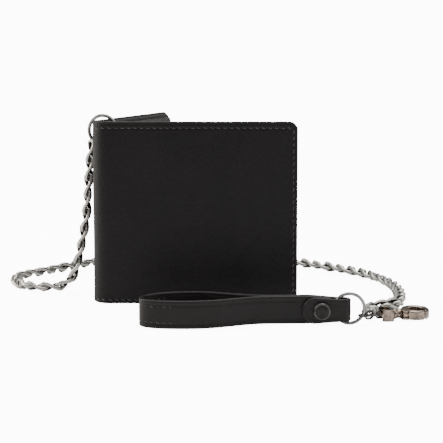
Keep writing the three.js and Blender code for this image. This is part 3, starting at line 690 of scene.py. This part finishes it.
makeWalletLeather()
for sideName, bodyName in (("front", "front_half"), ("back", "back_half")):
    makePanels(sideName, bodyName)
makeWalletStitches()
print("wallet leather made")

walletRing = {"outerRadius": 9.0, "wire": 1.9, "wobble": 0.03}
eyelet = {"bore": 2.3, "wall": 2.7, "flange": 4.4, "gap": 0.25, "washerThickness": 0.6}


def fromBox(node):
    low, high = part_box(node)
    return np.array(low) * 1000 - drawingOrigin, np.array(high) * 1000 - drawingOrigin


def boxMiddle(node):
    low, high = fromBox(node)
    return (low + high) / 2


def makeWalletRing():
    points, faces = ringPoints(walletRing["outerRadius"], walletRing["wire"], wobble=walletRing["wobble"])
    points = placed(points, boxMiddle("wallet_ring"), backOut, (0, 0, 1))
    piece = makeMesh("walletRing", points, faces, gunmetal)
    settle(piece, "ring_at_wallet", "gunmetal", "wallet_ring")


def makeEyelet():
    # turned about the eyelet's axis; heights are distances from the fold axis plane
    axis = axisPoint + backAlong * wallet["holePlace"][0] + np.array([0, 0, wallet["holePlace"][1]])
    outside, panelInside = wallet["shell"][0], wallet["panel"][1]
    washerHigh = panelInside - eyelet["gap"]
    washerLow = washerHigh - eyelet["washerThickness"]
    lipHigh = washerLow - eyelet["gap"]
    flangeLow = outside + eyelet["gap"]
    bore, wall, flange = eyelet["bore"], eyelet["wall"], eyelet["flange"]
    rolledLip = [(bore, lipHigh - 0.3), (bore + 0.25, lipHigh - 0.42), (3.0, lipHigh - 0.45),
                 (3.35, lipHigh - 0.35), (3.5, lipHigh - 0.15), (3.4, lipHigh), (wall, lipHigh)]
    rolledFlange = [(wall, flangeLow), (4.2, flangeLow), (flange, flangeLow + 0.12), (4.35, flangeLow + 0.3),
                    (4.05, flangeLow + 0.5), (3.4, flangeLow + 0.62), (2.8, flangeLow + 0.6),
                    (2.45, flangeLow + 0.45), (bore, flangeLow + 0.1)]
    barrel = rolledLip + rolledFlange + rolledLip[:1]
    washer = [(2.95, washerLow + 0.08), (3.05, washerLow), (4.05, washerLow), (4.2, washerLow + 0.15),
              (4.2, washerHigh - 0.15), (4.05, washerHigh), (3.05, washerHigh), (2.95, washerHigh - 0.08),
              (2.95, washerLow + 0.08)]
    turnedPieces = (("eyeletBarrel", "eyelet_barrel", barrel), ("eyeletWasher", "eyelet_washer", washer))
    for name, node, profile in turnedPieces:
        local, faces = turned(profile, 44)
        piece = makeMesh(name, standing(local, axis, backAlong, backOut), faces, darkGunmetal)
        settle(piece, "back_half", "gunmetal", node)


makeWalletRing()
makeEyelet()
print("wallet ring and eyelet made")

chain = {
    "linkLength": 14.0,
    "linkWidth": 7.0,
    "wire": 2.4,
    "tautPitch": 9.3,
    "loosePitch": 8.3,
    "wireSides": 8,
    "twist": 42,
    "twistReach": 4.6,
    "diameter": 7.0,
    "hangingTilt": 84,
    "lyingTilt": 24,
    "tiltSpread": 0.16,
    "hangingRun": 76.0,
    "lieStart": 95,
    "lieOver": 30,
    "hangingUp": (0.25, -0.95, 0.2),
    "firstLink": 3.8,
    "pastEnd": (-0.4, -3.0, 0),
    "route": [
        (-69.3, 20.6, 81.4), (-70.6, 21.0, 70.0), (-71.9, 21.8, 56.0), (-73.0, 22.6, 43.0),
        (-75.2, 23.6, 31.0), (-78.3, 24.8, 18.0), (-82.0, 26.0, 8.4), (-88.5, 25.6, 3.9),
        (-97.0, 24.6, 3.6), (-105.5, 27.4, 3.6), (-112.5, 35.0, 3.6), (-115.8, 46.0, 3.6),
        (-111.5, 56.0, 3.6), (-103.5, 64.0, 3.6), (-95.0, 73.5, 3.6), (-84.0, 84.0, 3.6),
        (-68.0, 98.5, 3.6), (-46.0, 111.5, 3.6), (-20.0, 117.0, 3.6), (8.0, 111.5, 3.6),
        (30.0, 100.0, 3.6), (47.4, 89.0, 3.6), (59.6, 79.8, 3.6), (71.5, 69.6, 3.6),
        (81.5, 58.5, 3.6), (88.8, 45.5, 3.6), (93.2, 31.0, 3.6), (94.3, 15.5, 3.6),
        (92.8, 1.0, 3.6), (89.0, -11.0, 3.6), (82.5, -17.6, 3.6), (76.4, -21.4, 3.6),
        (73.4, -26.6, 3.9)],
}


def smoothRoute(points, perSpan=24):
    # centripetal spline through the points: each span is blended from lines through its neighbours
    p = np.asarray(points, float)
    p = np.concatenate([[2 * p[0] - p[1]], p, [2 * p[-1] - p[-2]]])
    a, b, c, d = p[:-3], p[1:-2], p[2:-1], p[3:]

    def gap(x, y):
        return np.sqrt(np.linalg.norm(y - x, axis=1))[:, None, None]

    ta = np.zeros((len(a), 1, 1))
    tb, tc = ta + gap(a, b), ta + gap(a, b) + gap(b, c)
    td = tc + gap(c, d)
    t = tb + (tc - tb) * np.linspace(0, 1, perSpan, endpoint=False)[None, :, None]
    a, b, c, d = (x[:, None] for x in (a, b, c, d))
    ab = (tb - t) / (tb - ta) * a + (t - ta) / (tb - ta) * b
    bc = (tc - t) / (tc - tb) * b + (t - tb) / (tc - tb) * c
    cd = (td - t) / (td - tc) * c + (t - tc) / (td - tc) * d
    abc = (tc - t) / (tc - ta) * ab + (t - ta) / (tc - ta) * bc
    bcd = (td - t) / (td - tb) * bc + (t - tb) / (td - tb) * cd
    line = ((tc - t) / (tc - tb) * abc + (t - tb) / (tc - tb) * bcd).reshape(-1, 3)
    return np.concatenate([line, np.asarray(points[-1:], float)])


def makeChain():
    route = smoothRoute(chain["route"])
    run = runAlong(route)
    centres, at = [], chain["firstLink"]
    while at < run[-1]:
        centres.append(at)
        at += chain["tautPitch"] if at < chain["hangingRun"] else chain["loosePitch"]
    centres = np.interp(centres, [centres[0], centres[-1]], [chain["firstLink"], run[-1]])
    middle = onLine(centres, run, route)
    along = unit(onLine(centres + 2, run, route) - onLine(centres - 2, run, route))
    # the flat side faces sideways while the chain hangs and leans over where it lies
    lie = np.clip((centres - chain["lieStart"]) / chain["lieOver"], 0, 1)
    tilt = chain["hangingTilt"] + (chain["lyingTilt"] - chain["hangingTilt"]) * lie
    tilt = np.radians(tilt) + rng.uniform(-chain["tiltSpread"], chain["tiltSpread"], len(centres))
    up = np.where(lie[:, None] > 0.5, np.array([0, 0, 1.0]), np.array(chain["hangingUp"]))
    flat = unit(np.cross(along, up))
    normal = np.cross(flat, along)
    across = flat * np.cos(tilt)[:, None] + normal * np.sin(tilt)[:, None]
    upright = np.cross(along, across)
    line = ovalLine(chain["linkLength"], chain["linkWidth"], chain["wire"], 24)
    skin, faces = tubeLoop(line, chain["wire"], chain["wireSides"])
    # each link is twisted about the chain's line so that all lie the same way
    turn = np.radians(chain["twist"]) * np.sin(np.clip(skin[:, 0] / chain["twistReach"], -1, 1) * np.pi / 2)
    x, y, z = skin.T
    twisted = np.stack([x, y * np.cos(turn) - z * np.sin(turn), y * np.sin(turn) + z * np.cos(turn)], -1)
    body = (middle[:, None] + along[:, None] * twisted[None, :, :1] + across[:, None] * twisted[None, :, 1:2]
            + upright[:, None] * twisted[None, :, 2:])
    # painted shade: darker in colour where the wire faces its own link's opening
    closest = np.repeat(line, chain["wireSides"], 0)
    facing = unit(skin - closest)
    inwards = -(facing * unit(closest * np.array([0.35, 1, 1]))).sum(1)
    paintedShade = np.clip(inwards * 1.2 + 0.25, 0, 1)
    faces = repeatFaces(faces, len(centres), len(skin))
    piece = makeMesh("curbChain", body.reshape(-1, 3), faces, antiqueSilver,
                     attributes={"paintedShade": np.tile(paintedShade, len(centres))})
    settle(piece, "back_half", "antique_silver", "chain_run")


makeChain()

strap = {
    "thickness": 2.0, "width": 13.6, "gap": 0.3, "y": -41, "rise": 0.8, "foldWidth": 11, "foldX": 58.5,
    "frontEnd": 52.4, "merge": 24, "left": -38.5, "bulge": -15, "front": -49.2, "back": -30,
    "shoulder": 40, "neck": 58.6, "tabTip": 38.4, "tabWidth": 13.0, "tabRound": 6.5, "hingeX": 57.2,
    "step": 0.9, "edgeRound": 0.85, "rimWidth": 0.45, "creases": ((2.2, 0.16, 0.28), (3.0, 0.05, 0.3)),
    "stitchInset": 3.0, "stitchPitch": 3.0, "stitchReach": 18, "stitchLength": 2.1, "stitchRadius": 0.24,
}
strapPitch = strap["thickness"] + strap["gap"]
strapStart = strap["left"] - strap["thickness"] / 2
strapEnd = strap["foldX"] + strapPitch + strap["thickness"] / 2


def bezier(a, b, c, d, steps=40):
    t = np.linspace(0, 1, steps)[:, None]
    a, b, c, d = (np.array(p, float) for p in (a, b, c, d))
    return (1 - t) ** 3 * a + 3 * t * (1 - t) ** 2 * b + 3 * t * t * (1 - t) * c + t ** 3 * d


def strapLine():
    s = strap
    y, backY, tabY = s["y"], s["y"] + strapPitch, s["y"] - strapPitch
    turn = np.linspace(math.pi / 2, -math.pi / 2, 24)[:, None]
    arc = np.array([s["foldX"], y]) + strapPitch * np.concatenate([np.cos(turn), np.sin(turn)], 1)
    parts = [
        np.array([(s["frontEnd"], y), (s["merge"], y)], float),
        bezier((s["merge"], y), (8, y), (2, s["front"]), (s["bulge"], s["front"])),
        bezier((s["bulge"], s["front"]), (-29, s["front"]), (s["left"], -47), (s["left"], y)),
        bezier((s["left"], y), (s["left"], -34.5), (-29, s["back"]), (s["bulge"], s["back"])),
        bezier((s["bulge"], s["back"]), (0, s["back"]), (9, backY), (s["merge"], backY)),
        np.array([(s["merge"], backY), (s["foldX"], backY)], float), arc,
        np.array([(s["foldX"], tabY), (s["foldX"] - 0.4, tabY)], float)]
    line = np.concatenate(parts)
    keep = np.concatenate([[True], np.linalg.norm(np.diff(line, axis=0), axis=1) > 1e-6])
    return line[keep]


def stripHalfWidth(x, full):
    # narrows to the fold width where the strap passes through its ring
    k = np.clip((x - strap["shoulder"]) / (strap["neck"] - strap["shoulder"]), 0, 1)
    k = k * k * (3 - 2 * k)
    return full / 2 - k * (full - strap["foldWidth"]) / 2


def strapRise(x):
    return strap["rise"] * (x - strapStart) / (strapEnd - strapStart)


def stripPiece(name, line, width, roundStart=0.0):
    # a strap along a line in plan: v runs over its width, u along it; both faces meet at a rounded edge
    run = runAlong(line)
    total = run[-1]
    ends = (0, 0.04, 0.14, 0.3, 0.5, 0.8, 1.1, 1.4, 1.7, 2.0, 2.3, 2.7)
    u = spacedLine(0, total, strap["step"], ends)
    x, y = onLine(u, run, line).T
    ahead = unit(onLine(u + 0.3, run, line) - onLine(u - 0.3, run, line))
    normal = np.stack([ahead[:, 1], -ahead[:, 0], np.zeros(len(u))], -1)
    v = spacedLine(-1, 1, 0.16, tuple(e / (width / 2) for e in ends))
    half = stripHalfWidth(x, width)
    if roundStart:
        into = np.clip(roundStart - u, 0, None)
        across = np.sqrt(np.maximum(roundStart ** 2 - into ** 2, 0))
        half = np.minimum(half, across * width / 2 / roundStart)
    z = half[:, None] * v[None]
    edge = half[:, None] - np.abs(z)
    inset = np.minimum(edge, (total - u)[:, None])
    if roundStart:
        radial = roundStart - np.hypot(into[:, None], z * roundStart / (width / 2))
        inset = np.where(u[:, None] < roundStart, np.minimum(radial, edge), inset)
    else:
        inset = np.minimum(inset, u[:, None])
    inset = np.maximum(inset, 0)
    near = np.clip(inset / strap["edgeRound"], 0, 1)
    body = strap["thickness"] / 2 * np.sqrt(np.maximum(1 - (1 - near) ** 2, 0))
    # pressed lines along both edges: each is (distance in, depth, width)
    crease = sum(depth * np.exp(-((inset - at) / spread) ** 2) for at, depth, spread in strap["creases"])
    level = strap["width"] / 2 + strapRise(x)[:, None] + z
    centre = np.stack([x[:, None] + 0 * z, y[:, None] + 0 * z, level], -1)
    spread = (body - crease)[..., None] * normal[:, None]
    outer, inner = centre + spread, centre - spread
    points = np.concatenate([outer.reshape(-1, 3), inner.reshape(-1, 3)])
    faces = gridFaces(len(u), len(v))
    both = np.concatenate([faces, faces[:, ::-1] + z.size])
    # the rim mark for the lighter edge colour: edge paint, and partly a painted highlight
    mark = np.tile(np.exp(-(inset.reshape(-1) / strap["rimWidth"]) ** 2), 2)
    return makeMesh(name, points, both, strapLeather, attributes={"edge": mark})


def strapStitches(line):
    # two rows of stitches on both faces, round the loop's far end
    run = runAlong(line)
    farEnd = run[np.argmin(line[:, 0])]
    at = np.arange(farEnd - strap["stitchReach"], farEnd + strap["stitchReach"], strap["stitchPitch"])
    x, y = onLine(at, run, line).T
    ahead = unit(onLine(at + 0.3, run, line) - onLine(at - 0.3, run, line))
    ahead = np.concatenate([ahead, np.zeros((len(at), 1))], -1)
    normal = np.stack([ahead[:, 1], -ahead[:, 0], np.zeros(len(at))], -1)
    rows, alongs, outs = [], [], []
    sunk = strap["thickness"] / 2 - 0.12
    for level in (strap["stitchInset"], strap["width"] - strap["stitchInset"]):
        for face in (1, -1):
            rows.append(np.stack([x, y, level + strapRise(x)], -1) + normal * face * sunk)
            alongs.append(ahead)
            outs.append(normal * face)
    piece = stitchRow("strapStitches", np.concatenate(rows), np.concatenate(alongs), np.concatenate(outs),
                      threadFinish, length=strap["stitchLength"], radius=strap["stitchRadius"], slant=0.1)
    settle(piece, "back_half", "black_leather")


def makeStrap():
    line = strapLine()
    band = stripPiece("strapBand", line, strap["width"])
    settle(band, "back_half", "black_leather", "strap_band")
    tabY = strap["y"] - strapPitch
    tabLine = np.array([(strap["tabTip"], tabY), (strap["foldX"] + 0.3, tabY)], float)
    tab = stripPiece("strapTab", tabLine, strap["tabWidth"], roundStart=strap["tabRound"])
    settle(tab, None, "black_leather", "strap_tab")
    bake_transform(tab)
    strapStitches(line)


makeStrap()
print("strap made")

snap = {"capRadius": 4.1, "capHeight": 1.5, "stem": 1.0}


def makeSnapCap():
    low, high = fromBox("snap_cap")
    centre = boxMiddle("snap_cap")
    front, back = low[1], high[1]
    r, h = snap["capRadius"], snap["capHeight"]
    dome = [(0, 0), (r * 0.3, 0.01), (r * 0.55, 0.05), (r * 0.66, 0.1), (r * 0.72, 0.22), (r * 0.77, 0.22)]
    rim = [(r * 0.84, 0.10), (r * 0.92, 0.18), (r * 0.985, 0.45), (r, 0.85), (r * 0.99, h - 0.12),
           (r * 0.95, h)]
    stem = [(snap["stem"], h), (snap["stem"], back - front - 0.05), (0, back - front)]
    profile = dome + rim + stem
    local, faces = turned(profile, 64)
    origin = np.array([centre[0], front, centre[2]])
    points = standing(local, origin, np.array([1, 0, 0]), np.array([0, 1, 0]))
    # painted shade: the domed middle, the groove round it, the back of the rim and the stem are darkened in
    # colour; the front of the rim keeps the plain gunmetal
    radius = np.hypot(local[:, 0], local[:, 1]) / r
    paintedShade = np.where(radius < 0.8, 0.8, 0.0) + np.where(local[:, 2] > h * 0.6, 0.6, 0.0)
    piece = makeMesh("snapCap", points, faces, capFinish, attributes={"paintedShade": np.clip(paintedShade, 0, 1)})
    settle(piece, "tab", "gunmetal", "snap_cap")


makeSnapCap()

strapRing = {"outerRadius": 8.0, "wire": 1.7, "wobble": 0.03}
connector = {"length": 6.3, "width": 4.6, "wire": 1.1, "count": 4}
endRing = {"outerRadius": 3.0, "wire": 0.9}


def makeStrapRing():
    points, faces = ringPoints(strapRing["outerRadius"], strapRing["wire"], wobble=strapRing["wobble"])
    points = placed(points, boxMiddle("strap_ring"), (1, 0, 0), (0, 0, 1))
    piece = makeMesh("strapRing", points, faces, gunmetal)
    settle(piece, "ring_at_strap", "gunmetal", "strap_ring")


def makeConnectorLinks():
    first, last = boxMiddle("connector_link_1"), boxMiddle("connector_link_4")
    along = unit(last - first)
    side = unit(np.cross((0, 0, 1), along))
    up = np.cross(along, side)
    for number in range(1, connector["count"] + 1):
        line = ovalLine(connector["length"], connector["width"], connector["wire"], 28)
        skin, faces = tubeLoop(line, connector["wire"], 10)
        across = side if number % 2 else up
        points = placed(skin, boxMiddle(f"connector_link_{number}"), along, across)
        piece = makeMesh(f"connectorLink{number}", points, faces, linkFinish)
        settle(piece, "back_half", "gunmetal", f"connector_link_{number}")
    skin, faces = ringPoints(endRing["outerRadius"], endRing["wire"], 40, 10)
    points = placed(skin, boxMiddle("chain_end_ring"), side, up)
    piece = makeMesh("chainEndRing", points, faces, plainSilver)
    settle(piece, "back_half", "antique_silver", "chain_end_ring")


linkFinish = metalMaterial("linkGunmetal", (0.10, 0.096, 0.092), (0.03, 0.028, 0.027), rough=(0.16, 0.36),
                           size=600.0)
plainSilver = metalMaterial("plainSilver", (0.62, 0.60, 0.56), (0.36, 0.34, 0.31), rough=(0.2, 0.4),
                            size=800.0)
makeStrapRing()
makeConnectorLinks()
print("rings and links made")

clasp = {"voxel": 0.14, "smoothing": 8}


def castPiece(node, body, name):
    # the machined solid cast in metal: remeshed evenly and its edges eased
    source = next(o for o in bpy.data.objects if o.name == node)
    mesh = source.data.copy()
    mesh.name = name
    mesh.materials.clear()
    mesh.materials.append(warmNickel)
    solid = bmesh.new()
    solid.from_mesh(mesh)
    bmesh.ops.transform(solid, matrix=source.matrix_world, verts=solid.verts)
    bmesh.ops.remove_doubles(solid, verts=solid.verts, dist=1e-6)
    solid.to_mesh(mesh)
    solid.free()
    piece = bpy.data.objects.new(name, mesh)
    bpy.context.scene.collection.objects.link(piece)
    even = piece.modifiers.new("even", "REMESH")
    even.mode = "VOXEL"
    even.voxel_size = clasp["voxel"] / 1000
    even.use_smooth_shade = True
    ease = piece.modifiers.new("ease", "SMOOTH")
    ease.factor = 0.5
    ease.iterations = clasp["smoothing"]
    settle(piece, body, "warm_nickel", node)


castPiece("clasp_body", "clasp", "claspHook")
castPiece("clasp_gate", "gate", "claspGate")
castPiece("clasp_eye", "back_half", "claspEye")
print("clasp made")

# shown machined parts that keep their own shape
for node, finish in (("swivel_pin", warmNickel), ("gate_pin", warmNickel), ("gate_spring", springSteel),
                     ("snap_socket", darkGunmetal), ("snap_stud", darkGunmetal), ("snap_post", darkGunmetal)):
    part = bpy.data.objects[node]
    part.data.materials.clear()
    part.data.materials.append(finish)

studio = {
    "floor": (0.92, 0.92, 0.92),
    "floorGlow": 10.5,
    "backdrop": 12.0,
    "roomLight": 0.95,
    "fadeStart": 0.35,
    "fadeEnd": 1.3,
    "sky": ((0.5, 0.10), (0.6, 0.22), (0.75, 0.7), (1.0, 1.0)),
}


def makeFloor():
    mesh = bpy.data.meshes.new("floor")
    reach = 6.0
    mesh.from_pydata([(-reach, -reach, 0), (reach, -reach, 0), (reach, reach, 0), (-reach, reach, 0)], [],
                     [(0, 1, 2, 3)])
    floor = bpy.data.objects.new("floor", mesh)
    bpy.context.scene.collection.objects.link(floor)
    material, tree, shader, vector = newMaterial("paleFloor")
    noise = addNode(tree, "ShaderNodeTexNoise", {"Scale": 3, "Vector": vector})
    low = studio["floor"]
    colour = rampNode(tree, noise.outputs["Fac"], [(0.3, low), (0.7, tuple(min(c + 0.01, 1) for c in low))])
    # further off the floor fades into the backdrop, so that no horizon shows
    away = addNode(tree, "ShaderNodeVectorMath", {0: vector}, operation="LENGTH").outputs["Value"]
    fade = {"From Min": studio["fadeStart"], "From Max": studio["fadeEnd"], "Value": away}
    fade = addNode(tree, "ShaderNodeMapRange", fade, interpolation_type="SMOOTHSTEP")
    seen = addNode(tree, "ShaderNodeLightPath")
    gone = mathNode(tree, "MULTIPLY", fade.outputs["Result"], seen.outputs["Is Camera Ray"])
    fillInputs(tree, shader, {"Base Color": mixColour(tree, gone, colour, (0, 0, 0)), "Roughness": 0.9})
    # the pale floor glows a little for the camera alone, so that it stays as light as the backdrop
    rise = studio["backdrop"] - studio["floorGlow"]
    glow = mathNode(tree, "MULTIPLY_ADD", fade.outputs["Result"], rise, studio["floorGlow"])
    glow = mathNode(tree, "MULTIPLY", seen.outputs["Is Camera Ray"], glow)
    fillInputs(tree, shader, {"Emission Color": (1, 1, 1, 1), "Emission Strength": glow})
    mesh.materials.append(material)


def softLight(name, place, target, size, power, colour=(1, 1, 1)):
    data = bpy.data.lights.new(name, "AREA")
    data.shape = "RECTANGLE"
    data.size, data.size_y = size
    data.energy = power
    data.color = colour
    lamp = bpy.data.objects.new(name, data)
    place, target = np.array(place, float), np.array(target, float)
    lamp.location = place
    direction = unit(target - place)
    pitch = math.acos(-direction[2])
    lamp.rotation_euler = (pitch, 0, math.atan2(direction[1], direction[0]) - math.pi / 2)
    bpy.context.scene.collection.objects.link(lamp)


def makeStudio():
    world = bpy.data.worlds.new("studio")
    world.use_nodes = True
    tree = world.node_tree
    # the room is darker towards the horizon, which gives the metal something dark to reflect
    direction = addNode(tree, "ShaderNodeTexCoord")
    split = addNode(tree, "ShaderNodeSeparateXYZ", {0: direction.outputs["Generated"]})
    height = mathNode(tree, "MULTIPLY_ADD", split.outputs["Z"], 0.5, 0.5)
    sky = rampNode(tree, height, [(position, (level, level, level)) for position, level in studio["sky"]])
    room = mathNode(tree, "MULTIPLY", sky, studio["roomLight"])
    seen = addNode(tree, "ShaderNodeLightPath")
    strength = {"Factor": seen.outputs["Is Camera Ray"], "A": room, "B": studio["backdrop"]}
    strength = addNode(tree, "ShaderNodeMix", strength, data_type="FLOAT").outputs["Result"]
    fillInputs(tree, tree.nodes["Background"], {"Color": (1, 1, 1, 1), "Strength": strength})
    bpy.context.scene.world = world
    softLight("overhead", (0.05, 0.15, 1.2), (0, 0, 0), (1.3, 1.0), 20)
    softLight("leftWindow", (-1.1, 0.15, 0.5), (-0.05, 0, 0.05), (0.7, 0.9), 15, (1.0, 0.92, 0.83))
    softLight("rightFill", (1.1, -0.5, 0.6), (0, 0, 0.05), (0.7, 0.7), 5)


makeFloor()
makeStudio()
print("studio lit")
